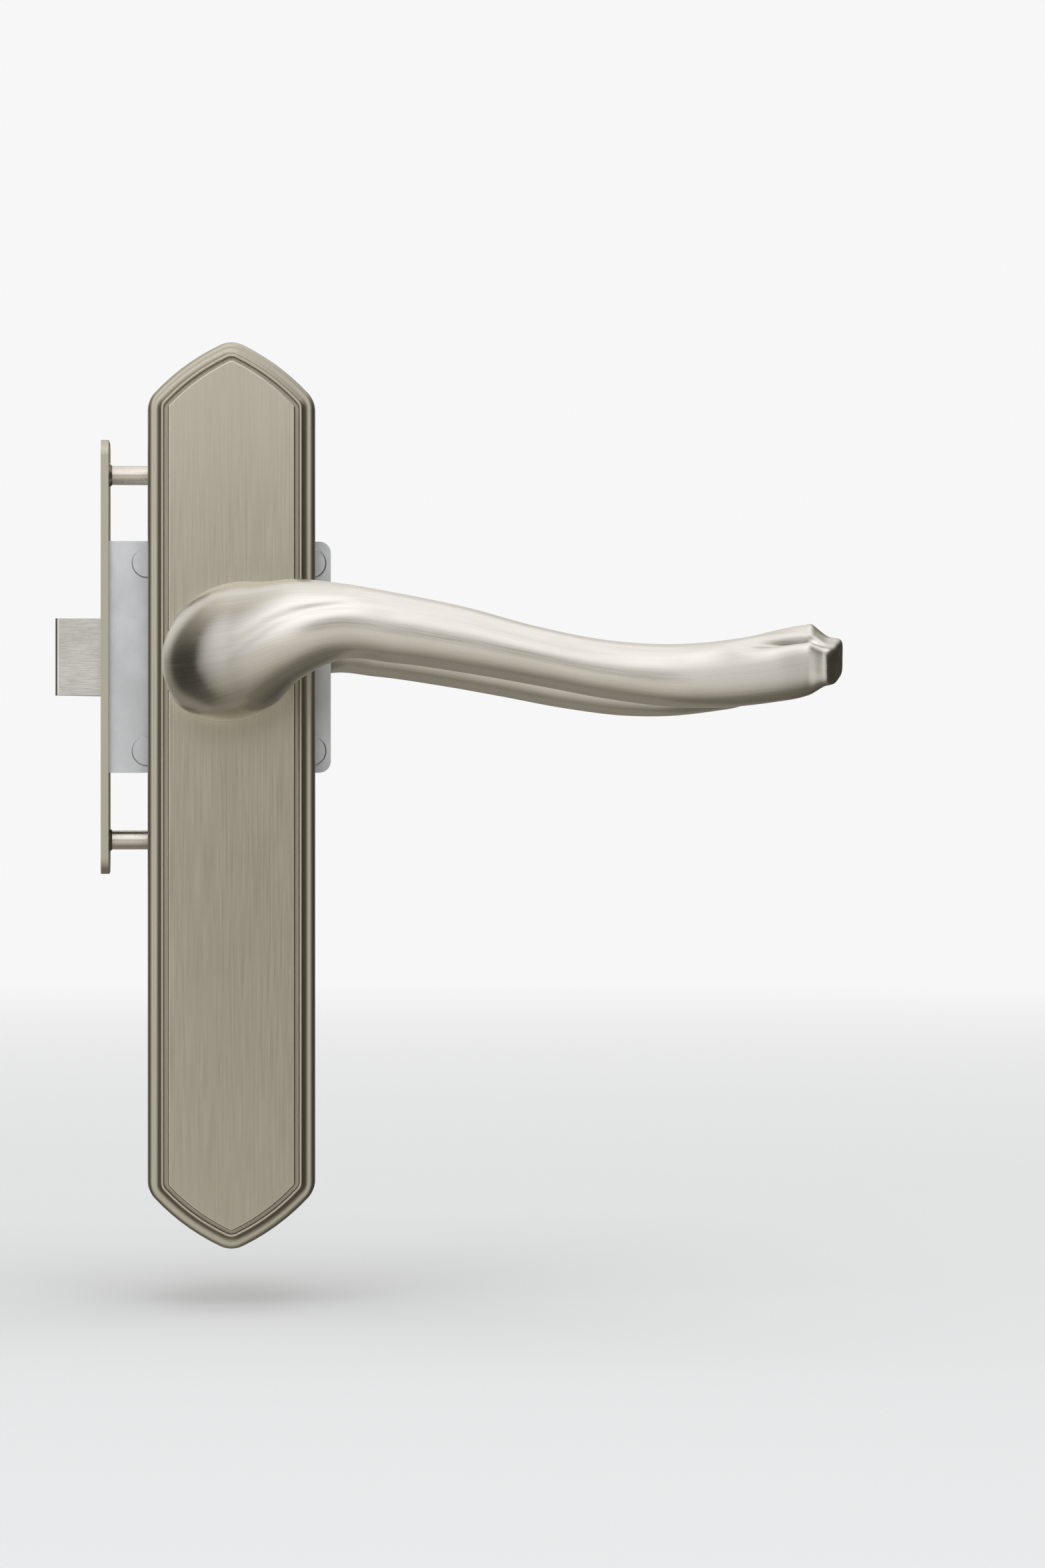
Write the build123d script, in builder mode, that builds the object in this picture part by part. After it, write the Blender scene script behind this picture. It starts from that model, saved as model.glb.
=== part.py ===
from build123d import *
import math
import os

os.makedirs("parts", exist_ok=True)

# Frame: the outside of the door faces -Y, the lever points to +X, the latch bolt to -X, and Z is up.
# The origin is on the spindle axis, at the door's outside face. All sizes are in millimetres.

# Door and trim plate sizes
door_thickness = 32.0
plate_half_width = 17.2
plate_top = 64.8
plate_bottom = 122.2
end_rise = 12.5
end_radius = 45.0
apex_radius = 5.5
shoulder_radius = 5.0
least_corner = 0.4
ridge_height = 5.2
ridge_draft = 3.0
ridge_edge = 1.0
cove_inset = 2.75
cove_radius = 1.3
bead_height = 6.8
bead_edge = 0.25
groove_inset = 3.45
groove_floor = 5.4
panel_inset = 4.25
panel_height = 8.0
panel_edge = 0.3
pocket_depth = 4.5
deep_inset = 5.8
deep_depth = 6.0

# Lever bearing and return spring sizes, as heights above the door's face
shank_radius = 8.0
running = 0.05
bush_wall = 1.95
flange_radius = shank_radius + 4.5
flange_thickness = 1.0
face_gap = 0.1
lever_base = panel_height + flange_thickness + face_gap
boss_radius = shank_radius + 4.0
boss_end = 4.4
cam_thickness = 1.2
cam_radius = shank_radius + 3.4
shank_flat = shank_radius - 1.5
ring_thickness = 0.9
ring_radius = shank_radius + 1.5
ring_mouth = 50.0
groove_radius = shank_radius - 1.0
shank_end = 0.6
shank_overlap = 1.0
tip_round = 0.6
points_round = 48
turn_limit = 40.0
stop_inner = shank_radius + 1.9
stop_outer = cam_radius - 0.2
stop_half_angle = 6.0
stop_slack = 1.0
coil_radius = cam_radius + 1.0
wire_radius = 0.5
pocket_clearance = 1.1
pocket_inset = plate_half_width - coil_radius - wire_radius - pocket_clearance
coil_pitch = 1.2
coil_turns = 1.5
leg_inner = stop_inner
leg_outer = coil_radius + 4.2
leg_slot = 1.3
anchor_width = 5.2
anchor_height = 3.9
anchor_cover = 0.65
leg_offset = 1.5

# Spindle, set screw and through bolt sizes
spindle_width = 6.35
spindle_reach = 30.0
socket_width = spindle_width + 0.15
socket_end_gap = 0.3
spindle_chamfer = 0.6
set_screw_radius = 2.45
set_screw_length = 6.0
set_screw_chamfer = 0.5
set_screw_height = 14.5
hex_key = 2.5
bolt_radius = 2.45
bolt_clearance = 0.25
bolt_chamfer = 0.5
bolt_top = 48.0
bolt_bottom = -100.0
post_radius = 4.0
post_reach = 14.0
bore_floor = ridge_height / 2
bolt_tip_gap = 0.4
bolt_tip = bolt_tip_gap - bore_floor
screw_boss_radius = 6.0
head_radius = 4.7
head_dome = 1.1
recess_width = 1.1
recess_length = 5.2
recess_depth = 2.0

# Latch case sizes
backset = 25.4
case_depth = backset + 20.6
case_half_height = 24.0
sheet = 1.2
bolt_width = 10.3
case_thickness = bolt_width + 2 * sheet + 3 * face_gap
case_front = -backset
case_back = case_front + case_depth
case_low = (door_thickness - case_thickness) / 2
case_high = case_low + case_thickness
middle = door_thickness / 2
faceplate_thickness = 1.6
faceplate_half_width = 9.0
faceplate_half_height = 45.0
faceplate_screw = faceplate_half_height - 7.0
journal_radius = 6.5
hub_radius = 9.0
hub_cam = 4.0
nose_radius = 2.5
nose_reach = hub_radius + 4.6
throw = 9.5
bolt_half_height = 8.0
bolt_nose = case_front - 11.1
bolt_back = case_front + 5.9
tail_thickness = 2.5
tail_half_height = 9.0
tail_end = 9.2
lug_face = nose_radius + 0.3
lug_width = 3.0
lug_low = hub_radius + 1.0
lug_high = nose_reach + 3.4
spring_line = -12.6
latch_coil_radius = 2.05
latch_wire_radius = 0.3
ear_width = 2.0
pin_radius = 1.5
ear_clearance = 0.075
pin_start = case_front + 2.4
post_start = 4.0
post_width = 3.0
rivet_radius = 1.6
rivet_taper = 20.0
rivet_x = case_back - 4.1
rivet_z = case_half_height - 4.5
rivet_front = case_front + 7.9
rivet_pitch = 4.5
case_screw_z = case_half_height - 7.0
case_screw_radius = 1.45
case_screw_sink = 1.3
case_screw_length = 4.2
door_screw_radius = 2.0
door_screw_sink = 2.2
door_screw_recess = 2.64
door_screw_length = 12.0
tongue_length = 4.5
bolt_tip_flat = 2.2
bolt_bevel = case_front - 2.2
tab_width = 8.0
ear_low = -16.0
ear_high = middle + 2.6
hub_high = middle + hub_cam / 2
slack = 0.35
latch_turns = 10.0

door_centre = Plane(origin=(0, middle, 0), z_dir=(0, 1, 0))


def face_at(height):
    """The plane at a height above the door's outside face, seen from outside."""
    return Plane(origin=(0, -height, 0), x_dir=(1, 0, 0), z_dir=(0, -1, 0))


def depth_at(y):
    """The plane across the door's thickness at y, seen from outside."""
    return Plane(origin=(0, y, 0), x_dir=(1, 0, 0), z_dir=(0, -1, 0))


def end_arc(inset):
    """One plate end: the shoulder, the middle of its arc and the apex, moved inwards."""
    chord = math.hypot(plate_half_width, end_rise)
    sag = math.sqrt(end_radius**2 - (chord / 2) ** 2)
    cx = plate_half_width / 2 - sag * end_rise / chord
    cz = end_rise / 2 - sag * plate_half_width / chord
    radius = end_radius - inset
    side = plate_half_width - inset
    low = math.acos((side - cx) / radius)
    high = math.acos(-cx / radius)
    angles = (low, (low + high) / 2, high)
    return [(cx + radius * math.cos(a), cz + radius * math.sin(a)) for a in angles]


def plate_face(inset, height):
    """The plate's outline, moved inwards by inset, as a face at a height."""
    shoulder, half, apex = end_arc(inset)
    top = plate_top - end_rise
    bottom = end_rise - plate_bottom
    with BuildSketch(face_at(height)) as drawn:
        with BuildLine():
            ThreePointArc((shoulder[0], top + shoulder[1]), (half[0], top + half[1]), (0, top + apex[1]))
            ThreePointArc((0, top + apex[1]), (-half[0], top + half[1]), (-shoulder[0], top + shoulder[1]))
            Line((-shoulder[0], top + shoulder[1]), (-shoulder[0], bottom - shoulder[1]))
            ThreePointArc(
                (-shoulder[0], bottom - shoulder[1]), (-half[0], bottom - half[1]), (0, bottom - apex[1])
            )
            ThreePointArc(
                (0, bottom - apex[1]), (half[0], bottom - half[1]), (shoulder[0], bottom - shoulder[1])
            )
            Line((shoulder[0], bottom - shoulder[1]), (shoulder[0], top + shoulder[1]))
        make_face()
        corners = drawn.vertices()
        fillet(corners.sort_by(Axis.Y)[0], max(apex_radius - inset, least_corner))
        fillet(drawn.vertices().sort_by(Axis.Y)[-1], max(apex_radius - inset, least_corner))
        sides = drawn.vertices().filter_by(lambda v: abs(v.X) > shoulder[0] - least_corner / 4)
        fillet(sides, max(shoulder_radius - inset, least_corner))
    return drawn.sketch


# Plate casting that both sides share: moulded rim, raised panel, hollow back, bearing boss and stops
with BuildPart() as plate_blank:
    extrude(plate_face(0, 0), amount=ridge_height, taper=ridge_draft)
    extrude(plate_face(cove_inset, ridge_height), amount=bead_height - ridge_height)
    ridge_flat = plate_blank.faces().filter_by(Plane.XZ).filter_by(
        lambda f: abs(f.center().Y + ridge_height) < least_corner
    )[0]
    cove_edges = ridge_flat.inner_wires()[0].edges()
    fillet(cove_edges, cove_radius)
    ridge_flat = plate_blank.faces().filter_by(Plane.XZ).filter_by(
        lambda f: abs(f.center().Y + ridge_height) < least_corner
    )[0]
    fillet(ridge_flat.outer_wire().edges(), ridge_edge)
    extrude(plate_face(groove_inset, groove_floor), amount=bead_height - groove_floor, mode=Mode.SUBTRACT)
    bead_edges = plate_blank.edges().filter_by(
        lambda e: abs(e.center().Y + bead_height) < bead_edge / 2 and e.bounding_box().size.Y < bead_edge / 2
    )
    fillet(bead_edges, bead_edge)
    extrude(plate_face(panel_inset, groove_floor), amount=panel_height - groove_floor)
    panel_edges = plate_blank.edges().filter_by(
        lambda e: abs(e.center().Y + panel_height) < panel_edge / 2 and e.bounding_box().size.Y < panel_edge / 2
    )
    fillet(panel_edges, panel_edge)
    extrude(plate_face(pocket_inset, 0), amount=pocket_depth, mode=Mode.SUBTRACT)
    extrude(plate_face(deep_inset, 0), amount=deep_depth, mode=Mode.SUBTRACT)
    with BuildSketch(face_at(boss_end)):
        Circle(boss_radius)
    extrude(amount=deep_depth - boss_end)
    with BuildSketch(face_at(boss_end)):
        with BuildLine():
            inner = CenterArc((0, 0), stop_inner, 180 - stop_half_angle, 2 * stop_half_angle)
            outer = CenterArc((0, 0), stop_outer, 180 - stop_half_angle, 2 * stop_half_angle)
            Line(inner @ 0, outer @ 0)
            Line(inner @ 1, outer @ 1)
        make_face()
    extrude(amount=-(cam_thickness + 3 * face_gap))
    with BuildSketch(face_at(deep_depth)):
        with Locations((-leg_offset, -(coil_radius + leg_outer) / 2 - wire_radius * 2)):
            Rectangle(anchor_width, anchor_height)
    extrude(amount=-(deep_depth - wire_radius))
    with BuildSketch(face_at(0)):
        with Locations((-leg_offset, -(coil_radius + leg_outer) / 2 - wire_radius * 2)):
            Rectangle(leg_slot, anchor_height + leg_slot / 4)
    extrude(amount=boss_end - cam_thickness / 2 - coil_pitch * coil_turns + anchor_cover, mode=Mode.SUBTRACT)
    with BuildSketch(face_at(boss_end - cam_thickness)):
        Circle(shank_radius + running + bush_wall + running)
    extrude(amount=panel_height, mode=Mode.SUBTRACT)

# Outside plate: the shared casting as it is
with BuildPart() as outside_plate:
    add(plate_blank.part)
outside_plate.part.label = "outside_plate"
export_step(outside_plate.part, "parts/outside_plate.step")

# Two threaded posts, fixed to the outside plate's back, that reach into the door for the through bolts
with BuildPart() as bolt_posts:
    with BuildSketch(depth_at(post_reach)):
        with Locations((0, bolt_top), (0, bolt_bottom)):
            Circle(post_radius)
    extrude(amount=deep_depth + post_reach)
    chamfer(bolt_posts.faces().sort_by(Axis.Y)[-1].edges(), bolt_chamfer)
    chamfer(bolt_posts.faces().sort_by(Axis.Y)[-2].edges(), bolt_chamfer)
    with BuildSketch(depth_at(post_reach)):
        with Locations((0, bolt_top), (0, bolt_bottom)):
            Circle(bolt_radius + running)
    extrude(amount=post_reach + bore_floor, mode=Mode.SUBTRACT)
bolt_posts.part.label = "bolt_posts"
export_step(bolt_posts.part, "parts/bolt_posts.step")

# Inside plate: the shared casting turned over, with two countersunk screw bosses
with BuildPart() as inside_plate:
    add(mirror(plate_blank.part, about=door_centre))
    with BuildSketch(depth_at(door_thickness)):
        with Locations((0, bolt_top), (0, bolt_bottom)):
            Circle(screw_boss_radius)
    extrude(amount=-deep_depth - (panel_height - deep_depth) / 2)
    with BuildSketch(depth_at(door_thickness)):
        with Locations((0, bolt_top), (0, bolt_bottom)):
            Circle(bolt_radius + bolt_clearance)
    extrude(amount=-panel_height, mode=Mode.SUBTRACT)
    sink = head_radius - bolt_radius
    with Locations((0, door_thickness + panel_height - sink / 2, bolt_top)):
        Cone(bolt_radius, head_radius, sink, rotation=(-90, 0, 0), mode=Mode.SUBTRACT)
    with Locations((0, door_thickness + panel_height - sink / 2, bolt_bottom)):
        Cone(bolt_radius, head_radius, sink, rotation=(-90, 0, 0), mode=Mode.SUBTRACT)
inside_plate.part.label = "inside_plate"
export_step(inside_plate.part, "parts/inside_plate.step")

# Lever loft. Each row is one cross section along the lever's middle line: heading from the door towards +X,
# x, y, z, half depth, half height, squareness, flute depth, flute angle, flute spread, lean, drop.
lever_rows = [
    (0, 0.0, -lever_base, 0.0, 13.2, 13.2, 2.0, -0.5, -48, 16, 0.3, 0.0),
    (0, 0.0, -14.0, 0.0, 13.3, 13.3, 2.0, -0.5, -48, 16, 0.5, 0.0),
    (0, 0.0, -20.0, 0.0, 13.7, 13.7, 2.0, -0.5, -48, 16, 0.7, 0.0),
    (6, 0.1, -26.0, -0.1, 13.9, 13.8, 2.0, -0.3, -48, 16, 0.9, 0.0),
    (22, 0.15, -31.7, -0.05, 14.1, 13.8, 2.0, -0.2, -40, 16, 0.8, 0.0),
    (36.5, 2.0, -35.95, 0.13, 13.1, 13.65, 2.05, 0.05, -22, 9, 0.5, 0.0),
    (51.5, 6.2, -39.6, 1.2, 10.8, 12.4, 2.1, 0.35, -6, 8, 0.2, 0.0),
    (70.5, 12.9, -43.05, 4.07, 8.65, 9.95, 2.2, 0.5, 11.7, 8, 0.1, 0.0),
    (86, 21.4, -44.4, 5.6, 7.3, 7.55, 2.25, 0.4, 21, 8, 0.0, 0.0),
    (90, 32.0, -44.6, 4.4, 6.6, 6.95, 2.3, 0.05, 31, 10, 0.0, 0.0),
    (90, 46.0, -44.6, 2.0, 6.3, 6.5, 2.3, 0.0, 46, 14, 0.0, 0.0),
    (90, 60.0, -44.8, -1.1, 6.1, 5.85, 2.3, 0.0, 46, 16, 0.0, 0.0),
    (90, 74.0, -44.8, -3.75, 6.0, 5.8, 2.3, 0.0, 46, 18, 0.0, 0.0),
    (90, 88.0, -44.6, -4.95, 6.0, 6.25, 2.3, 0.0, 47, 21, 0.0, 0.0),
    (91, 98.5, -44.15, -4.45, 5.9, 6.7, 2.4, 0.5, 50, 24, 0.0, 0.0),
    (90, 107.0, -43.6, -3.0, 5.8, 7.05, 2.6, 2.1, 58, 28, 0.0, 0.3),
    (79, 114.0, -43.2, -1.65, 5.6, 6.95, 3.0, 3.0, 66, 33, 0.0, 0.7),
    (72, 117.1, -43.1, -2.0, 5.6, 4.9, 3.6, 1.6, 70, 32, 0.0, 1.1),
    (65, 119.7, -43.0, -2.0, 5.8, 3.75, 4.5, 0.2, 70, 30, 0.0, 1.2),
]


def lever_section(row):
    """One cross section of the lever: a soft square with a flute pressed in, leaning, lower in front."""
    heading, x, y, z, half_depth, half_height, square, flute, flute_angle, flute_spread, lean, drop = row
    turn = math.radians(heading)
    outwards = (-math.cos(turn), -math.sin(turn), 0)
    onwards = (math.sin(turn), -math.cos(turn), 0)
    backwards = (-onwards[0], -onwards[1], 0)
    points = []
    for i in range(points_round):
        angle = 2 * math.pi * i / points_round
        across = half_depth * math.copysign(abs(math.cos(angle)) ** (2 / square), math.cos(angle))
        up = half_height * math.copysign(abs(math.sin(angle)) ** (2 / square), math.sin(angle))
        away = (math.degrees(angle) - flute_angle + 180) % 360 - 180
        pressed = flute * math.exp(-((away / flute_spread) ** 2)) + lean * math.sin(2 * angle)
        keep = 1 - pressed / math.hypot(across, up)
        points.append((across * keep, up * keep - drop * across / half_depth))
    with BuildSketch(Plane(origin=(x, y, z), x_dir=outwards, z_dir=backwards)) as drawn:
        with BuildLine():
            Spline(*points, periodic=True)
        make_face()
    return drawn.sketch


# Lever casting that both sides share: lofted grip, bearing shank with flats, ring groove, spindle socket
with BuildPart() as lever_blank:
    loft(sections=[lever_section(row) for row in lever_rows])
    fillet(lever_blank.edges().sort_by(Axis.X)[-1], tip_round)
    with BuildSketch(face_at(shank_end)):
        Circle(shank_radius)
    extrude(amount=lever_base + shank_overlap - shank_end)
    with BuildSketch(face_at(shank_end)):
        Circle(boss_radius)
        Rectangle(2 * shank_flat, 4 * shank_radius, mode=Mode.SUBTRACT)
    extrude(amount=boss_end - face_gap / 2 - shank_end, mode=Mode.SUBTRACT)
    ring_low = boss_end - 2 * face_gap - cam_thickness - face_gap - ring_thickness
    with BuildSketch(face_at(ring_low - face_gap / 2)):
        Circle(boss_radius)
        Circle(groove_radius, mode=Mode.SUBTRACT)
    extrude(amount=ring_thickness + face_gap, mode=Mode.SUBTRACT)
    with BuildSketch(face_at(shank_end)):
        Rectangle(socket_width, socket_width)
    extrude(amount=spindle_reach + socket_end_gap - shank_end, mode=Mode.SUBTRACT)

# Outside lever
with BuildPart() as outside_lever:
    add(lever_blank.part)
outside_lever.part.label = "outside_lever"
export_step(outside_lever.part, "parts/outside_lever.step")

# Inside lever: the same casting turned over, drilled from below for the set screw
with BuildPart() as inside_lever:
    add(mirror(lever_blank.part, about=door_centre))
    with BuildSketch(Plane(origin=(0, door_thickness + set_screw_height, 0), z_dir=(0, 0, -1))):
        Circle(set_screw_radius + running)
    extrude(amount=4 * spindle_width, mode=Mode.SUBTRACT)
inside_lever.part.label = "inside_lever"
export_step(inside_lever.part, "parts/inside_lever.step")

# Set screw that clamps the inside lever on the spindle
with BuildPart() as lever_set_screw:
    with BuildSketch(
        Plane(origin=(0, door_thickness + set_screw_height, -spindle_width / 2), z_dir=(0, 0, -1))
    ):
        Circle(set_screw_radius)
    extrude(amount=set_screw_length)
    chamfer(lever_set_screw.edges().group_by(Axis.Z)[-1], set_screw_chamfer)
    with BuildSketch(lever_set_screw.faces().sort_by(Axis.Z)[0]):
        RegularPolygon(hex_key / math.sqrt(3), 6)
    extrude(amount=-hex_key, mode=Mode.SUBTRACT)
lever_set_screw.part.label = "lever_set_screw"
export_step(lever_set_screw.part, "parts/lever_set_screw.step")

# Bush: a flanged nylon bearing between the lever's shank and the plate
with BuildPart() as bush_blank:
    with BuildSketch(face_at(boss_end - face_gap)):
        Circle(shank_radius + running + bush_wall)
    extrude(amount=panel_height - boss_end + face_gap)
    with BuildSketch(face_at(panel_height)):
        Circle(flange_radius)
    extrude(amount=flange_thickness)
    fillet(bush_blank.edges().group_by(Axis.Y)[0], flange_thickness / 4)
    with BuildSketch(face_at(0)):
        Circle(shank_radius + running)
    extrude(amount=lever_base, mode=Mode.SUBTRACT)
with BuildPart() as outside_bush:
    add(bush_blank.part)
outside_bush.part.label = "outside_bush"
export_step(outside_bush.part, "parts/outside_bush.step")
with BuildPart() as inside_bush:
    add(mirror(bush_blank.part, about=door_centre))
inside_bush.part.label = "inside_bush"
export_step(inside_bush.part, "parts/inside_bush.step")

# Cam plate: turns with the lever, carries the spring's inner leg and the notch for the rest stop
cam_low = boss_end - 2 * face_gap - cam_thickness
with BuildPart() as cam_blank:
    with BuildSketch(face_at(cam_low)):
        Circle(cam_radius)
        with BuildLine():
            notch_start = 180 - stop_half_angle - stop_slack
            notch_turn = 2 * stop_half_angle + 2 * stop_slack + turn_limit
            deep = CenterArc((0, 0), stop_inner - 3 * running, notch_start, notch_turn)
            wide = CenterArc((0, 0), coil_radius, notch_start, notch_turn)
            Line(deep @ 0, wide @ 0)
            Line(deep @ 1, wide @ 1)
        make_face(mode=Mode.SUBTRACT)
        with Locations((-leg_offset, cam_radius)):
            Rectangle(leg_slot, 2 * (cam_radius - leg_inner + 3 * running), mode=Mode.SUBTRACT)
        with BuildSketch(mode=Mode.SUBTRACT):
            Circle(shank_radius + running)
            Rectangle(2 * (shank_flat + running), 4 * shank_radius, mode=Mode.INTERSECT)
    extrude(amount=cam_thickness)
with BuildPart() as outside_cam_plate:
    add(cam_blank.part)
outside_cam_plate.part.label = "outside_cam_plate"
export_step(outside_cam_plate.part, "parts/outside_cam_plate.step")
with BuildPart() as inside_cam_plate:
    add(mirror(cam_blank.part, about=door_centre))
inside_cam_plate.part.label = "inside_cam_plate"
export_step(inside_cam_plate.part, "parts/inside_cam_plate.step")

# Retaining ring: an open spring-steel ring in the shank's groove
with BuildPart() as ring_blank:
    with BuildSketch(face_at(ring_low)):
        with BuildLine():
            ring_inside = CenterArc((0, 0), groove_radius + running, ring_mouth / 2, 360 - ring_mouth)
            ring_outside = CenterArc((0, 0), ring_radius, ring_mouth / 2, 360 - ring_mouth)
            Line(ring_inside @ 0, ring_outside @ 0)
            Line(ring_inside @ 1, ring_outside @ 1)
        make_face()
    extrude(amount=ring_thickness)
with BuildPart() as outside_retaining_ring:
    add(ring_blank.part)
outside_retaining_ring.part.label = "outside_retaining_ring"
export_step(outside_retaining_ring.part, "parts/outside_retaining_ring.step")
with BuildPart() as inside_retaining_ring:
    add(mirror(ring_blank.part, about=door_centre))
inside_retaining_ring.part.label = "inside_retaining_ring"
export_step(inside_retaining_ring.part, "parts/inside_retaining_ring.step")

# Return spring: one wire, coiled round the cam plate, with a leg in its slot and a leg in the plate's anchor
coil_top = boss_end - 2 * face_gap - cam_thickness / 2
coil_bottom = coil_top - coil_pitch * coil_turns
coil_start = Plane(origin=(0, -coil_top, 0), x_dir=(0, 0, 1), z_dir=(0, 1, 0))
with BuildPart() as spring_blank:
    with BuildLine() as coil_path:
        coil_turn = Helix(coil_pitch, coil_pitch * coil_turns, coil_radius, mode=Mode.PRIVATE)
        coil = add(coil_start.location * coil_turn)
        first = coil_path.line @ 0
        first_way = coil_path.line % 0
        last = coil_path.line @ 1
        last_way = coil_path.line % 1
        Spline((-leg_offset, -coil_top, leg_inner), first, tangents=((0, 0, 1), first_way))
        Spline(last, (-leg_offset, -coil_bottom, -leg_outer), tangents=(last_way, (0, 0, -1)))
    wire = coil_path.wires()[0]
    with BuildSketch(Plane(origin=wire @ 0, z_dir=wire % 0)):
        Circle(wire_radius)
    sweep(path=wire)
with BuildPart() as outside_return_spring:
    add(spring_blank.part)
outside_return_spring.part.label = "outside_return_spring"
export_step(outside_return_spring.part, "parts/outside_return_spring.step")
with BuildPart() as inside_return_spring:
    add(mirror(spring_blank.part, about=door_centre))
inside_return_spring.part.label = "inside_return_spring"
export_step(inside_return_spring.part, "parts/inside_return_spring.step")

# Square spindle through both levers and the latch hub
with BuildPart() as spindle:
    with BuildSketch(depth_at(door_thickness + spindle_reach)):
        Rectangle(spindle_width, spindle_width)
    extrude(amount=door_thickness + 2 * spindle_reach)
    chamfer(spindle.faces().sort_by(Axis.Y)[0].edges(), spindle_chamfer)
    chamfer(spindle.faces().sort_by(Axis.Y)[-1].edges(), spindle_chamfer)
spindle.part.label = "spindle"
export_step(spindle.part, "parts/spindle.step")

# Two through bolts with domed countersunk heads, from the inside plate into the outside posts
head_face = door_thickness + panel_height
sink = head_radius - bolt_radius
dome_radius = (head_radius**2 + head_dome**2) / (2 * head_dome)
with BuildPart() as through_bolts:
    for bolt_z in (bolt_top, bolt_bottom):
        with BuildSketch(Plane(origin=(0, 0, bolt_z), x_dir=(1, 0, 0), z_dir=(0, 0, 1))):
            with BuildLine():
                profile = Polyline(
                    (0, bolt_tip),
                    (bolt_radius - bolt_chamfer, bolt_tip),
                    (bolt_radius, bolt_tip + bolt_chamfer),
                    (bolt_radius, head_face - sink),
                    (head_radius, head_face),
                )
                dome = RadiusArc(profile @ 1, (0, head_face + head_dome), -dome_radius)
                Line(dome @ 1, profile @ 0)
            make_face()
        revolve(axis=Axis((0, 0, bolt_z), (0, 1, 0)))
        with Locations((0, head_face + head_dome, bolt_z)):
            Box(recess_width, 2 * recess_depth, recess_length, mode=Mode.SUBTRACT)
            Box(recess_length, 2 * recess_depth, recess_width, mode=Mode.SUBTRACT)
through_bolts.part.label = "through_bolts"
export_step(through_bolts.part, "parts/through_bolts.step")

# Latch case: a folded steel tray with a bolt opening in front, hub hole and four rivet pillars
rivet_spots = [(rivet_x, rivet_z), (rivet_x, -rivet_z), (rivet_front, rivet_z), (rivet_front, -rivet_z)]
with BuildPart() as latch_case:
    with BuildSketch(depth_at(case_high - sheet)):
        with Locations(((case_front + case_back) / 2, 0)):
            Rectangle(case_depth, 2 * case_half_height)
    extrude(amount=case_thickness - sheet)
    fillet(latch_case.edges().filter_by(Axis.Y).group_by(Axis.X)[-1], 2 * sheet)
    with BuildSketch(depth_at(case_high - sheet)):
        with Locations(((case_front + case_back) / 2, 0)):
            Rectangle(case_depth - 2 * sheet, 2 * case_half_height - 2 * sheet)
    extrude(amount=case_thickness - 2 * sheet, mode=Mode.SUBTRACT)
    with BuildSketch(depth_at(case_high - sheet)):
        with Locations(*rivet_spots):
            Circle(rivet_radius + sheet)
    extrude(amount=case_thickness - 2 * sheet)
    with BuildSketch(depth_at(case_high)):
        with Locations(*rivet_spots):
            Circle(rivet_radius + running)
        Circle(journal_radius + running)
    extrude(amount=case_thickness, mode=Mode.SUBTRACT)
    with Locations((case_front, middle, 0)):
        Box(3 * sheet, bolt_width + 6 * face_gap, 2 * bolt_half_height + 6 * face_gap, mode=Mode.SUBTRACT)
    with BuildSketch(Plane(origin=(case_front - sheet, middle, 0), x_dir=(0, 1, 0), z_dir=(1, 0, 0))):
        with Locations((0, case_screw_z), (0, -case_screw_z)):
            Circle(case_screw_radius + running)
    extrude(amount=3 * sheet, mode=Mode.SUBTRACT)
latch_case.part.label = "latch_case"
export_step(latch_case.part, "parts/latch_case.step")

# Cover that closes the case
with BuildPart() as case_cover:
    with BuildSketch(depth_at(case_high)):
        with Locations(((case_front + case_back) / 2, 0)):
            Rectangle(case_depth, 2 * case_half_height)
        with Locations(*rivet_spots):
            Circle(rivet_radius + running, mode=Mode.SUBTRACT)
        Circle(journal_radius + running, mode=Mode.SUBTRACT)
    extrude(amount=sheet)
    fillet(case_cover.edges().filter_by(Axis.Y).group_by(Axis.X)[-1], 2 * sheet)
case_cover.part.label = "case_cover"
export_step(case_cover.part, "parts/case_cover.step")

# Four rivets through the case pillars
with BuildPart() as case_rivets:
    with BuildSketch(depth_at(case_high)):
        with Locations(*rivet_spots):
            Circle(rivet_radius)
    extrude(amount=case_thickness)
    with BuildSketch(depth_at(case_high + rivet_radius / 2)):
        with Locations(*rivet_spots):
            Circle(2 * rivet_radius)
    extrude(amount=rivet_radius / 2, taper=rivet_taper)
    with BuildSketch(depth_at(case_low)):
        with Locations(*rivet_spots):
            Circle(2 * rivet_radius)
    extrude(amount=rivet_radius / 2, taper=rivet_taper)
case_rivets.part.label = "case_rivets"
export_step(case_rivets.part, "parts/case_rivets.step")

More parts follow.
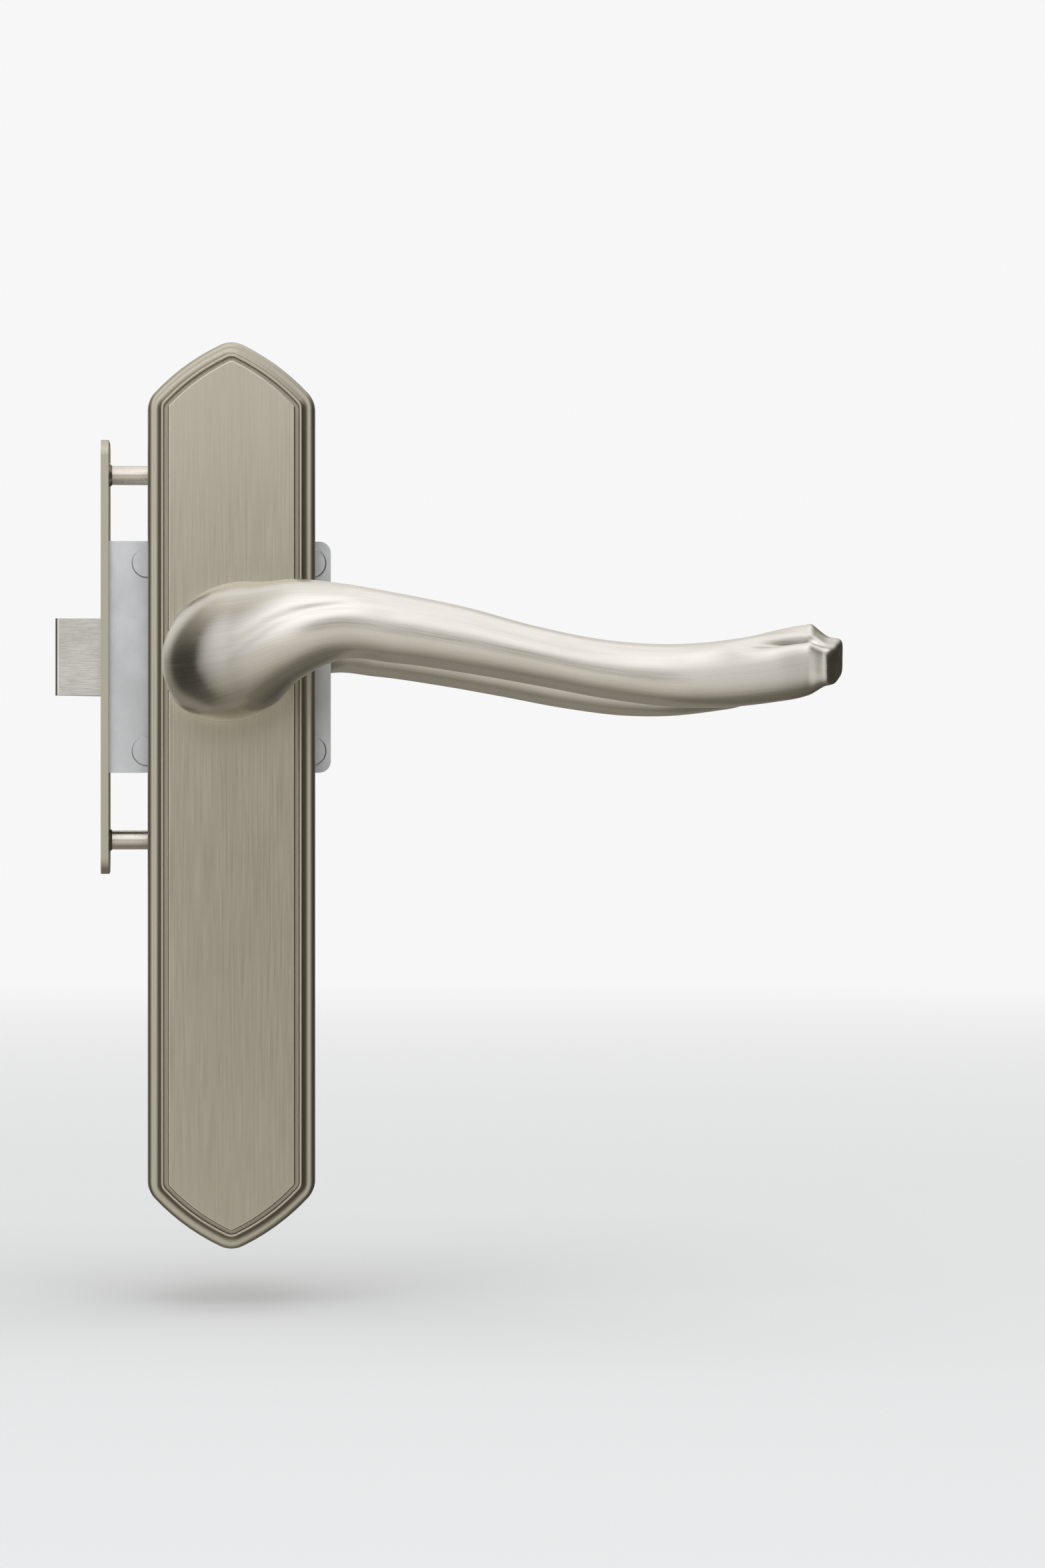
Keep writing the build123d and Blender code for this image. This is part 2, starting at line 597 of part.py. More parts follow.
# Faceplate in the door's edge, with countersinks for the door screws and the case screws
edge_plane = Plane(origin=(case_front, middle, 0), x_dir=(0, 1, 0), z_dir=(-1, 0, 0))
face_outer = case_front - faceplate_thickness
sunk_radius = door_screw_radius + door_screw_sink
with BuildPart() as faceplate:
    with BuildSketch(edge_plane):
        RectangleRounded(2 * faceplate_half_width, 2 * faceplate_half_height, 2 * faceplate_thickness)
        Rectangle(bolt_width + 6 * face_gap, 2 * bolt_half_height + 6 * face_gap, mode=Mode.SUBTRACT)
        with Locations((0, faceplate_screw), (0, -faceplate_screw)):
            Circle(door_screw_radius + bolt_clearance, mode=Mode.SUBTRACT)
        with Locations((0, case_screw_z), (0, -case_screw_z)):
            Circle(case_screw_radius + running, mode=Mode.SUBTRACT)
    extrude(amount=faceplate_thickness)
    for screw_z in (faceplate_screw, -faceplate_screw):
        with Locations((face_outer + faceplate_thickness / 2, middle, screw_z)):
            Cone(sunk_radius, sunk_radius - faceplate_thickness, faceplate_thickness,
                 rotation=(0, 90, 0), mode=Mode.SUBTRACT)
    for screw_z in (case_screw_z, -case_screw_z):
        with Locations((face_outer + case_screw_sink / 2, middle, screw_z)):
            Cone(case_screw_radius + case_screw_sink, case_screw_radius, case_screw_sink,
                 rotation=(0, 90, 0), mode=Mode.SUBTRACT)
faceplate.part.label = "faceplate"
export_step(faceplate.part, "parts/faceplate.step")

# Two countersunk screws that hold the faceplate in the door's edge
screw_start = face_outer + door_screw_sink
point_middle = screw_start + door_screw_length + door_screw_radius
with BuildPart() as faceplate_screws:
    for screw_z in (faceplate_screw, -faceplate_screw):
        with Locations((face_outer + door_screw_sink / 2, middle, screw_z)):
            Cone(sunk_radius, door_screw_radius, door_screw_sink, rotation=(0, 90, 0))
        with BuildSketch(Plane(origin=(screw_start, middle, screw_z), z_dir=(1, 0, 0))):
            Circle(door_screw_radius)
        extrude(amount=door_screw_length)
        with Locations((point_middle, middle, screw_z)):
            Cone(door_screw_radius, door_screw_radius / 4, 2 * door_screw_radius, rotation=(0, 90, 0))
        with Locations((face_outer, middle, screw_z)):
            Box(door_screw_recess, recess_width, 2 * door_screw_radius, mode=Mode.SUBTRACT)
            Box(door_screw_recess, 2 * door_screw_radius, recess_width, mode=Mode.SUBTRACT)
faceplate_screws.part.label = "faceplate_screws"
export_step(faceplate_screws.part, "parts/faceplate_screws.step")

# Two small screws that join the faceplate to the case
with BuildPart() as case_screws:
    for screw_z in (case_screw_z, -case_screw_z):
        with Locations((face_outer + case_screw_sink / 2, middle, screw_z)):
            Cone(case_screw_radius + case_screw_sink, case_screw_radius, case_screw_sink, rotation=(0, 90, 0))
        with BuildSketch(Plane(origin=(face_outer + case_screw_sink, middle, screw_z), z_dir=(1, 0, 0))):
            Circle(case_screw_radius)
        extrude(amount=case_screw_length)
        with Locations((face_outer, middle, screw_z)):
            Box(case_screw_sink, case_screw_sink / 2, 4 * case_screw_radius, mode=Mode.SUBTRACT)
case_screws.part.label = "case_screws"
export_step(case_screws.part, "parts/case_screws.step")

# Latch bolt head: flat towards the outside, bevelled towards the inside, rebated for its tail
bolt_low = middle - bolt_width / 2
bolt_high = middle + bolt_width / 2
tail_low = case_low + sheet + 3 * face_gap
tail_high = tail_low + tail_thickness
tongue_middle = bolt_back - tongue_length / 2
with BuildPart() as latch_bolt:
    with BuildSketch(Plane(origin=(0, 0, -bolt_half_height), z_dir=(0, 0, 1))):
        with BuildLine():
            Polyline(
                (bolt_back, bolt_low),
                (bolt_nose, bolt_low),
                (bolt_nose, bolt_low + bolt_tip_flat),
                (bolt_bevel, bolt_high),
                (bolt_back, bolt_high),
                close=True,
            )
        make_face()
    extrude(amount=2 * bolt_half_height)
    nose_edges = latch_bolt.edges().filter_by(Axis.Z).group_by(Axis.X)[0]
    fillet(nose_edges, bolt_tip_flat / 3)
    with Locations((bolt_back, bolt_low, 0)):
        Box(2 * tongue_length, 2 * (tail_high - bolt_low), 4 * bolt_half_height, mode=Mode.SUBTRACT)
    with BuildSketch(depth_at(bolt_high)):
        with Locations((tongue_middle, rivet_pitch), (tongue_middle, -rivet_pitch)):
            Circle(rivet_radius + running)
    extrude(amount=bolt_width, mode=Mode.SUBTRACT)
latch_bolt.part.label = "latch_bolt"
export_step(latch_bolt.part, "parts/latch_bolt.step")

# Bolt tail: slotted round the hub, with a lug for the hub's nose, an ear for the spring and two rivet studs
with BuildPart() as bolt_tail:
    with BuildSketch(depth_at(tail_high)):
        with Locations(((bolt_back - tongue_length + tail_end) / 2, 0)):
            Rectangle(tail_end - bolt_back + tongue_length, 2 * tail_half_height)
        with Locations(((lug_face + lug_width - tab_width / 2), (tail_half_height + lug_high) / 2)):
            Rectangle(tab_width, lug_high - tail_half_height)
        with Locations((bolt_back + tab_width / 2, (ear_low - tail_half_height) / 2)):
            Rectangle(tab_width, -ear_low - tail_half_height)
        with Locations((-throw / 2, 0)):
            SlotCenterToCenter(throw + 4 * slack, 2 * (journal_radius + slack), mode=Mode.SUBTRACT)
    extrude(amount=tail_thickness)
    with BuildSketch(depth_at(hub_high)):
        with Locations((lug_face + lug_width / 2, (lug_low + lug_high) / 2)):
            Rectangle(lug_width, lug_high - lug_low)
    extrude(amount=hub_high - tail_high)
    with BuildSketch(depth_at(ear_high)):
        with Locations((bolt_back + ear_width / 2, (ear_low - tail_half_height - slack) / 2)):
            Rectangle(ear_width, -ear_low - tail_half_height - slack)
    extrude(amount=ear_high - tail_high)
    with BuildSketch(Plane(origin=(bolt_back - ear_width, middle, spring_line), z_dir=(1, 0, 0))):
        Circle(pin_radius + ear_clearance)
    extrude(amount=3 * ear_width, mode=Mode.SUBTRACT)
    with BuildSketch(depth_at(bolt_high)):
        with Locations((tongue_middle, rivet_pitch), (tongue_middle, -rivet_pitch)):
            Circle(rivet_radius)
    extrude(amount=bolt_high - tail_high)
bolt_tail.part.label = "bolt_tail"
export_step(bolt_tail.part, "parts/bolt_tail.step")

# Hub: round journals in the case walls, square hole for the spindle and a nose that pulls the tail
with BuildPart() as hub:
    with BuildSketch(depth_at(case_high + 2 * face_gap)):
        Circle(journal_radius)
    extrude(amount=case_thickness + 4 * face_gap)
    with BuildSketch(depth_at(hub_high)):
        Circle(hub_radius)
        with Locations((0, nose_reach / 2)):
            Rectangle(2 * nose_radius, nose_reach)
        with Locations((0, nose_reach)):
            Circle(nose_radius)
    extrude(amount=hub_cam)
    with BuildSketch(depth_at(case_high - sheet - face_gap)):
        Circle(hub_radius - sheet)
    extrude(amount=case_high - sheet - face_gap - hub_high)
    with BuildSketch(depth_at(door_thickness)):
        Rectangle(socket_width, socket_width)
    extrude(amount=door_thickness, mode=Mode.SUBTRACT)
hub.part.label = "hub"
export_step(hub.part, "parts/hub.step")

# Spring post fixed in the case, with a hole for the guide pin
with BuildPart() as spring_post:
    with BuildSketch(depth_at(ear_high)):
        with Locations((post_start + post_width / 2, (ear_low - tail_half_height - slack) / 2)):
            Rectangle(post_width, -ear_low - tail_half_height - slack)
    extrude(amount=ear_high - case_low - sheet)
    with BuildSketch(Plane(origin=(post_start - post_width, middle, spring_line), z_dir=(1, 0, 0))):
        Circle(pin_radius + running)
    extrude(amount=3 * post_width, mode=Mode.SUBTRACT)
spring_post.part.label = "spring_post"
export_step(spring_post.part, "parts/spring_post.step")

# Guide pin that the latch spring and the ear ride on
with BuildPart() as spring_guide_pin:
    with BuildSketch(Plane(origin=(pin_start, middle, spring_line), z_dir=(1, 0, 0))):
        Circle(pin_radius)
    extrude(amount=post_start + post_width - pin_start)
    chamfer(spring_guide_pin.edges().group_by(Axis.X)[0], pin_radius / 4)
spring_guide_pin.part.label = "spring_guide_pin"
export_step(spring_guide_pin.part, "parts/spring_guide_pin.step")

# Latch spring between the ear and the post
spring_start = bolt_back + ear_width + latch_wire_radius + face_gap
spring_length = post_start - latch_wire_radius - face_gap - spring_start
with BuildPart() as latch_spring:
    with BuildLine() as latch_path:
        latch_turn = Helix(spring_length / latch_turns, spring_length, latch_coil_radius, mode=Mode.PRIVATE)
        add(Plane(origin=(spring_start, middle, spring_line), z_dir=(1, 0, 0)).location * latch_turn)
    with BuildSketch(Plane(origin=latch_path.line @ 0, z_dir=latch_path.line % 0)):
        Circle(latch_wire_radius)
    sweep(path=latch_path.line, is_frenet=True)
latch_spring.part.label = "latch_spring"
export_step(latch_spring.part, "parts/latch_spring.step")
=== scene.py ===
import math
import bmesh
import bpy
import numpy as np
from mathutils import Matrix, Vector


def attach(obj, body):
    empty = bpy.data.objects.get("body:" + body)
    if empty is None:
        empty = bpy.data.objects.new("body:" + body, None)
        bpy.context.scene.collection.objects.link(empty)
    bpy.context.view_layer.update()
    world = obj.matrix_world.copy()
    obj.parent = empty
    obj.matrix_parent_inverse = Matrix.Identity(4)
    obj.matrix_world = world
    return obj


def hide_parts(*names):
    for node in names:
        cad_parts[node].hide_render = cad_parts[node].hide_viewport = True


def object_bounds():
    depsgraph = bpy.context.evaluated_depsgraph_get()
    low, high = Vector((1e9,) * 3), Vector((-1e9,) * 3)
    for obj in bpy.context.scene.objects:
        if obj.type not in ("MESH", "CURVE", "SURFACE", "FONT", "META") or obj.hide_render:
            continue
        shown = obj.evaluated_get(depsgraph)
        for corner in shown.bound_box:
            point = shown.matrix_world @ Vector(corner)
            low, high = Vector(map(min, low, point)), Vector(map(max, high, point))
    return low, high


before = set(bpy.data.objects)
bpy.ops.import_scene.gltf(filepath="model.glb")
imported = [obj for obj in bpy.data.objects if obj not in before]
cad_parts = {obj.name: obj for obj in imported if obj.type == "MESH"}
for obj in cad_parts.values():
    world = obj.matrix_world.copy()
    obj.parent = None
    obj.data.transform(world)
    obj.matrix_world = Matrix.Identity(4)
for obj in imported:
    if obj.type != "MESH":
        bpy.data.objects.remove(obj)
cad_low, cad_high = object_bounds()


# Outside and inside trim plates
# Each is one zinc die casting with a moulded rim, a bead, a sunk groove and a raised flat panel.
# It is linished along its length, then plated in satin nickel and lacquered. Sizes of shapes are in mm.
MM = 0.001
PLATE_GAP = 32.0
PANEL_FROM_MIDDLE = (22.95, 23.6)
# Painted shade: both plate colours and the rim colour are darker and warmer than the levers' nickel, though
# all of them are one plating.
PLATE_NICKEL_WITH_SHADE = (0.533, 0.491, 0.39)
PLATE_NICKEL_DULL_WITH_SHADE = (0.499, 0.458, 0.36)
RIM_NICKEL_WITH_SHADE = (0.46, 0.42, 0.33)
RIM_ROUGHNESS = (0.4, 0.46)
PANEL_ROUGHNESS = (0.2, 0.26)
PLATE_GRAIN = (0.0004, 0.0004, 0.018)
PLATE_GRAIN_DEPTH = 0.0000003
PLATE_CLOUDS = (0.02, 0.02, 0.045)


def finish_of(name, colour, metallic, roughness):
    """A new finish in one plain colour: its material, its node tree and its shader."""
    finish = bpy.data.materials.new(name)
    finish.use_nodes = True
    tree = finish.node_tree
    shader = tree.nodes["Principled BSDF"]
    shader.inputs["Base Color"].default_value = (*colour, 1)
    shader.inputs["Metallic"].default_value = metallic
    shader.inputs["Roughness"].default_value = roughness
    return finish, tree, shader


def grain_noise(tree, coordinates, size, detail):
    """Noise whose specks are size = (x, y, z) metres across."""
    stretch = tree.nodes.new("ShaderNodeMapping")
    stretch.inputs["Scale"].default_value = tuple(1 / s for s in size)
    tree.links.new(coordinates, stretch.inputs["Vector"])
    noise = tree.nodes.new("ShaderNodeTexNoise")
    noise.inputs["Scale"].default_value = 1
    noise.inputs["Detail"].default_value = detail
    noise.inputs["Roughness"].default_value = 0.55
    tree.links.new(stretch.outputs["Vector"], noise.inputs["Vector"])
    return noise.outputs["Fac"]


def spread(tree, value, low, high, start=0.3, end=0.7):
    """Low where a value is start or less, high where it is end or more, and in step between."""
    ramp = tree.nodes.new("ShaderNodeMapRange")
    ramp.inputs["From Min"].default_value = start
    ramp.inputs["From Max"].default_value = end
    ramp.inputs["To Min"].default_value = low
    ramp.inputs["To Max"].default_value = high
    tree.links.new(value, ramp.inputs["Value"])
    return ramp.outputs["Result"]


def between(tree, value, colour_a, colour_b):
    """A colour between two, by a value from 0 to 1."""
    mix = tree.nodes.new("ShaderNodeMix")
    mix.data_type = "RGBA"
    mix.inputs["A"].default_value = (*colour_a, 1)
    mix.inputs["B"].default_value = (*colour_b, 1)
    tree.links.new(value, mix.inputs["Factor"])
    return mix.outputs["Result"]


def relief(tree, shader, height, depth):
    """Presses a height into the surface, depth metres deep."""
    bump = tree.nodes.new("ShaderNodeBump")
    bump.inputs["Strength"].default_value = 1
    bump.inputs["Distance"].default_value = depth
    tree.links.new(height, bump.inputs["Height"])
    tree.links.new(bump.outputs["Normal"], shader.inputs["Normal"])


def dressed(node, finish):
    """Gives a node a finish."""
    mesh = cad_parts[node].data
    mesh.materials.clear()
    mesh.materials.append(finish)


def plate_nickel_with_shade():
    """Satin nickel with a fine grain that runs up the panel. Its colour is painted darker and warmer than
    the levers' nickel, as painted shade. The lower rim is duller, and its colour is darker still, with more
    painted shade.

    Rim and panel are told apart by how far they stand from the middle between the two plates.
    """
    finish, tree, shader = finish_of("plate_nickel_with_shade", PLATE_NICKEL_WITH_SHADE, 1, 0.3)
    place = tree.nodes.new("ShaderNodeTexCoord").outputs["Object"]
    streaks = grain_noise(tree, place, PLATE_GRAIN, 4)
    clouds = grain_noise(tree, place, PLATE_CLOUDS, 3)
    apart = tree.nodes.new("ShaderNodeVectorMath")
    apart.operation = "MULTIPLY_ADD"
    apart.inputs[1].default_value = (0, 1, 0)
    apart.inputs[2].default_value = (0, -PLATE_GAP / 2 * MM, 0)
    tree.links.new(place, apart.inputs[0])
    from_middle = tree.nodes.new("ShaderNodeVectorMath")
    from_middle.operation = "LENGTH"
    tree.links.new(apart.outputs["Vector"], from_middle.inputs[0])
    rim_top, panel_foot = PANEL_FROM_MIDDLE
    on_panel = spread(tree, from_middle.outputs["Value"], 0, 1, rim_top * MM, panel_foot * MM)
    satin = tree.nodes.new("ShaderNodeMix")
    tree.links.new(on_panel, satin.inputs["Factor"])
    tree.links.new(spread(tree, streaks, *RIM_ROUGHNESS), satin.inputs["A"])
    tree.links.new(spread(tree, streaks, *PANEL_ROUGHNESS), satin.inputs["B"])
    tree.links.new(satin.outputs["Result"], shader.inputs["Roughness"])
    # Painted shade: the panel takes a darker copy of the levers' nickel, and the rim takes a darker copy
    # still.
    panel_colour = between(tree, spread(tree, clouds, 0, 1), PLATE_NICKEL_DULL_WITH_SHADE, PLATE_NICKEL_WITH_SHADE)
    toned = tree.nodes.new("ShaderNodeMix")
    toned.data_type = "RGBA"
    toned.inputs["A"].default_value = (*RIM_NICKEL_WITH_SHADE, 1)
    tree.links.new(panel_colour, toned.inputs["B"])
    tree.links.new(on_panel, toned.inputs["Factor"])
    tree.links.new(toned.outputs["Result"], shader.inputs["Base Color"])
    relief(tree, shader, streaks, PLATE_GRAIN_DEPTH)
    return finish


plate_finish_with_shade = plate_nickel_with_shade()
dressed("outside_plate", plate_finish_with_shade)
dressed("inside_plate", plate_finish_with_shade)


# Bolt posts
# Two turned steel posts with a zinc plate, fixed to the outside plate's back.
# They are drilled down the middle and take the through bolts.
def steel(name, colour, dull, roughness, speck, depth):
    """Plated steel with a fine grain and faint cloudy patches."""
    finish, tree, shader = finish_of(name, colour, 1, roughness)
    place = tree.nodes.new("ShaderNodeTexCoord").outputs["Object"]
    grain = grain_noise(tree, place, speck, 4)
    clouds = grain_noise(tree, place, (0.006, 0.006, 0.009), 3)
    tree.links.new(spread(tree, grain, roughness - 0.06, roughness + 0.08), shader.inputs["Roughness"])
    tree.links.new(between(tree, spread(tree, clouds, 0, 1), dull, colour), shader.inputs["Base Color"])
    relief(tree, shader, grain, depth)
    return finish


zinc_steel = steel(
    "zinc_steel", colour=(0.63, 0.63, 0.62), dull=(0.54, 0.54, 0.53),
    roughness=0.36, speck=(0.0006, 0.0006, 0.0006), depth=0.000006,
)
dressed("bolt_posts", zinc_steel)


# Bushes
# Each is a flanged nylon bearing, moulded in one piece and set in its plate.
# The lever's shank turns in it.
def nylon():
    """Off white nylon with a faint moulded grain."""
    finish, tree, shader = finish_of("nylon", (0.78, 0.76, 0.7), 0, 0.45)
    place = tree.nodes.new("ShaderNodeTexCoord").outputs["Object"]
    grain = grain_noise(tree, place, (0.0004, 0.0004, 0.0004), 3)
    tree.links.new(spread(tree, grain, 0.38, 0.52), shader.inputs["Roughness"])
    relief(tree, shader, grain, 0.00001)
    return finish


nylon_finish = nylon()
dressed("outside_bush", nylon_finish)
dressed("inside_bush", nylon_finish)


# Outside and inside levers
# Each is one zinc die casting, an S shaped grip that rises from a round boss and turns up at its tip.
# It is brushed along its length, plated in satin nickel and lacquered. Its shank turns in a bush.
LEVER_STATIONS = [
    # heading, x, y, z, half depth, half height, squareness,
    # flute depth, flute angle, flute spread, lean, drop
    (0, 0.0, -9.1, 0.0, 13.2, 13.2, 2.0, -0.5, -48, 16, 0.3, 0.0),
    (0, 0.0, -14.0, 0.0, 13.3, 13.3, 2.0, -0.5, -48, 16, 0.5, 0.0),
    (0, 0.0, -20.0, 0.0, 13.7, 13.7, 2.0, -0.5, -48, 16, 0.7, 0.0),
    (6, 0.1, -26.0, -0.1, 13.9, 13.8, 2.0, -0.3, -48, 16, 0.9, 0.0),
    (22, 0.15, -31.7, -0.05, 14.1, 13.8, 2.0, -0.2, -40, 16, 0.8, 0.0),
    (36.5, 2.0, -35.95, 0.13, 13.1, 13.65, 2.05, 0.05, -22, 9, 0.5, 0.0),
    (51.5, 6.2, -39.6, 1.2, 10.8, 12.4, 2.1, 0.35, -6, 8, 0.2, 0.0),
    (70.5, 12.9, -43.05, 4.07, 8.65, 9.95, 2.2, 0.5, 11.7, 8, 0.1, 0.0),
    (86, 21.4, -44.4, 5.6, 7.3, 7.55, 2.25, 0.4, 21, 8, 0.0, 0.0),
    (90, 32.0, -44.6, 4.4, 6.6, 6.95, 2.3, 0.05, 31, 10, 0.0, 0.0),
    (90, 46.0, -44.6, 2.0, 6.3, 6.5, 2.3, 0.0, 46, 14, 0.0, 0.0),
    (90, 60.0, -44.8, -1.1, 6.1, 5.85, 2.3, 0.0, 46, 16, 0.0, 0.0),
    (90, 74.0, -44.8, -3.75, 6.0, 5.8, 2.35, 0.0, 46, 18, 0.0, 0.0),
    (90, 88.0, -44.6, -4.95, 6.0, 6.25, 2.5, 0.0, 47, 21, 0.0, 0.0),
    (91, 98.5, -44.1, -4.45, 5.9, 6.7, 2.7, 0.2, 50, 24, 0.0, 0.0),
    (90.5, 103.0, -43.85, -3.8, 5.85, 6.9, 2.8, 1.4, 55, 26, 0.0, 0.15),
    (90, 107.0, -43.6, -3.0, 5.8, 7.15, 2.9, 2.9, 59, 27, 0.0, 0.3),
    (83, 113.3, -43.25, -1.75, 5.65, 7.2, 3.0, 4.5, 62, 28, 0.0, 0.6),
    (81, 114.7, -43.2, -1.45, 5.6, 7.0, 3.1, 4.7, 63, 28, 0.0, 0.7),
    (79, 115.7, -43.18, -1.65, 5.6, 6.2, 3.3, 3.3, 65, 30, 0.0, 0.8),
    (76, 118.0, -43.26, -2.0, 5.35, 4.5, 3.95, 1.15, 69.5, 32, 0.0, 1.05),
    (75.5, 118.6, -43.3, -2.0, 5.3, 4.35, 4.0, 1.0, 70, 32, 0.0, 1.1),
    (70, 120.3, -43.1, -2.0, 3.75, 3.75, 4.5, 0.2, 70, 30, 0.0, 1.2),
]
POINTS_ROUND = 128
RING_STEP = 0.5
SHANK_RADIUS = 8.0
SHANK_FLAT = 6.5
SHANK_END = -0.6
FLAT_START = -4.35
RING_GROOVE = (-2.9, -1.9)
RING_GROOVE_RADIUS = 7.0
SOCKET_HALF = 3.25
SOCKET_FLOOR = -30.3
BOSS_EDGE = ((0.4, 0.0), (0.12, 0.12), (0.0, 0.4))
BOSS_EDGE_END = 0.7
TIP_ROUND = 0.6
TIP_RINGS = 8
CENTRE_SHARE = 0.02
BRUSHING_GIRTH = 0.05
SHARP_FROM = 40
LEVER_NICKEL = (0.665, 0.622, 0.548)
LEVER_NICKEL_DULL = (0.63, 0.585, 0.51)
LEVER_ROUGHNESS = (0.22, 0.29)
FINE_BRUSHING = (0.009, 0.00016, 1)
FINE_BRUSHING_DEPTH = 0.000002
COARSE_BRUSHING = (0.02, 0.0004, 1)
DARK_LINES = (0.93, 0.93, 0.93)
LIGHT_LINES = (1.04, 1.04, 1.04)
LEVER_CLOUDS = (0.015, 0.01, 0.006)
round_angles = np.linspace(-math.pi, math.pi, POINTS_ROUND, endpoint=False)


def smooth_rows(rows, step):
    """The stations with more rows worked out between them, and the distance of each along the lever."""
    rows = np.array(rows)
    spans = np.linalg.norm(np.diff(rows[:, 1:4], axis=0), axis=1)
    marks = np.concatenate(([0], np.cumsum(spans)))
    slopes = np.gradient(rows, marks, axis=0)
    along = np.linspace(0, marks[-1], round(marks[-1] / step) + 1)
    at = np.clip(np.searchsorted(marks, along, side="right") - 1, 0, len(rows) - 2)
    span = (marks[at + 1] - marks[at])[:, None]
    t = (along - marks[at])[:, None] / span
    made = (
        (2 * t**3 - 3 * t**2 + 1) * rows[at]
        + (t**3 - 2 * t**2 + t) * span * slopes[at]
        + (3 * t**2 - 2 * t**3) * rows[at + 1]
        + (t**3 - t**2) * span * slopes[at + 1]
    )
    return made, along


def lever_ring(row, inset=0.0, forward=0.0):
    """One ring of points round the lever, a soft square with a flute pressed in."""
    heading, x, y, z, half_depth, half_height, square, flute, flute_angle, flute_spread, lean, drop = row
    cosine, sine = np.cos(round_angles), np.sin(round_angles)
    outward = half_depth * np.sign(cosine) * np.abs(cosine) ** (2 / square)
    upward = half_height * np.sign(sine) * np.abs(sine) ** (2 / square)
    away = (np.degrees(round_angles) - flute_angle + 180) % 360 - 180
    pressed = flute * np.exp(-((away / flute_spread) ** 2)) + lean * np.sin(2 * round_angles) + inset
    keep = 1 - pressed / np.hypot(outward, upward)
    turn = math.radians(heading)
    out = np.array((-math.cos(turn), -math.sin(turn), 0))
    on = np.array((math.sin(turn), -math.cos(turn), 0))
    centre = np.array((x, y, z)) + forward * on
    raised = upward * keep - drop * outward / half_depth
    return centre + np.outer(outward * keep, out) + np.outer(raised, (0, 0, 1))


def shank_ring(y, radius, flat=None, square=None):
    """One ring round the shank: round, with two flats, or square."""
    cosine, sine = np.cos(round_angles), np.sin(round_angles)
    reach = np.full(POINTS_ROUND, float(radius))
    if flat:
        reach = np.minimum(reach, flat / np.maximum(np.abs(cosine), 1e-6))
    if square:
        reach = square / np.maximum(np.abs(cosine), np.abs(sine))
    return np.stack((-reach * cosine, np.full(POINTS_ROUND, float(y)), reach * sine), axis=1)


def lever_rings():
    """All rings of one lever from the bottom of its socket to its tip, with their distance along it."""
    rows, along = smooth_rows(LEVER_STATIONS, RING_STEP)
    base = rows[0][2]
    rings = [
        shank_ring(SOCKET_FLOOR, 0, square=SOCKET_HALF * CENTRE_SHARE),
        shank_ring(SOCKET_FLOOR, 0, square=SOCKET_HALF),
        shank_ring(SHANK_END, 0, square=SOCKET_HALF),
        shank_ring(SHANK_END, RING_GROOVE_RADIUS, flat=SHANK_FLAT),
        shank_ring(SHANK_END, SHANK_RADIUS, flat=SHANK_FLAT),
        shank_ring(RING_GROOVE[1], SHANK_RADIUS, flat=SHANK_FLAT),
        shank_ring(RING_GROOVE[1], RING_GROOVE_RADIUS, flat=SHANK_FLAT),
        shank_ring(RING_GROOVE[0], RING_GROOVE_RADIUS, flat=SHANK_FLAT),
        shank_ring(RING_GROOVE[0], SHANK_RADIUS, flat=SHANK_FLAT),
        shank_ring(FLAT_START, SHANK_RADIUS, flat=SHANK_FLAT),
        shank_ring(FLAT_START, SHANK_RADIUS),
        shank_ring(base, SHANK_RADIUS),
    ]
    distances = [-1.0] * len(rings)
    for inset, forward in BOSS_EDGE:
        rings.append(lever_ring(rows[0], inset, forward))
        distances.append(forward)
    for row, distance in zip(rows, along):
        if BOSS_EDGE_END < distance < along[-1] - TIP_ROUND:
            rings.append(lever_ring(row))
            distances.append(distance)
    start, corner = rings[-1], lever_ring(rows[-1])
    middle = corner.mean(axis=0)
    inwards = middle - corner
    inwards /= np.linalg.norm(inwards, axis=1)[:, None]
    reach = np.linalg.norm(corner - start, axis=1)[:, None]
    end = corner + inwards * reach
    for t in np.linspace(0, 1, TIP_RINGS)[1:]:
        rings.append((1 - t) ** 2 * start + 2 * t * (1 - t) * corner + t**2 * end)
        distances.append(distances[-1] + TIP_ROUND / 4)
    for share in (0.8, 0.5, CENTRE_SHARE):
        rings.append(middle + (end - middle) * share)
        distances.append(distances[-1] + 1)
    return rings, distances


def lever_mesh(name, turned_over):
    """The lever's mesh, with a map that runs along it and round it for the brushing."""
    rings, distances = lever_rings()
    points = np.concatenate(rings) * MM
    if turned_over:
        points[:, 1] = PLATE_GAP * MM - points[:, 1]
    faces = []
    count = POINTS_ROUND
    for ring in range(len(rings) - 1):
        for i in range(count):
            j = (i + 1) % count
            quad = (ring * count + i, ring * count + j, (ring + 1) * count + j, (ring + 1) * count + i)
            faces.append(quad[::-1] if turned_over else quad)
    first = tuple(range(count))
    last = tuple(range((len(rings) - 1) * count, len(rings) * count))
    faces.append(first if turned_over else first[::-1])
    faces.append(last[::-1] if turned_over else last)
    mesh = bpy.data.meshes.new(name)
    mesh.from_pydata(points.tolist(), [], faces)
    brushing = mesh.uv_layers.new(name="brushing")
    for polygon in mesh.polygons:
        wraps = max(mesh.loops[k].vertex_index % count for k in polygon.loop_indices) == count - 1
        for k in polygon.loop_indices:
            vertex = mesh.loops[k].vertex_index
            place = vertex % count
            if wraps and place == 0:
                place = count
            brushing.data[k].uv = (distances[vertex // count] * MM, place / count * BRUSHING_GIRTH)
    check = bmesh.new()
    check.from_mesh(mesh)
    if check.calc_volume(signed=True) < 0:
        bmesh.ops.reverse_faces(check, faces=check.faces)
    check.to_mesh(mesh)
    check.free()
    mesh.shade_smooth()
    mesh.set_sharp_from_angle(angle=math.radians(SHARP_FROM))
    lever = bpy.data.objects.new(name, mesh)
    bpy.context.collection.objects.link(lever)
    return lever


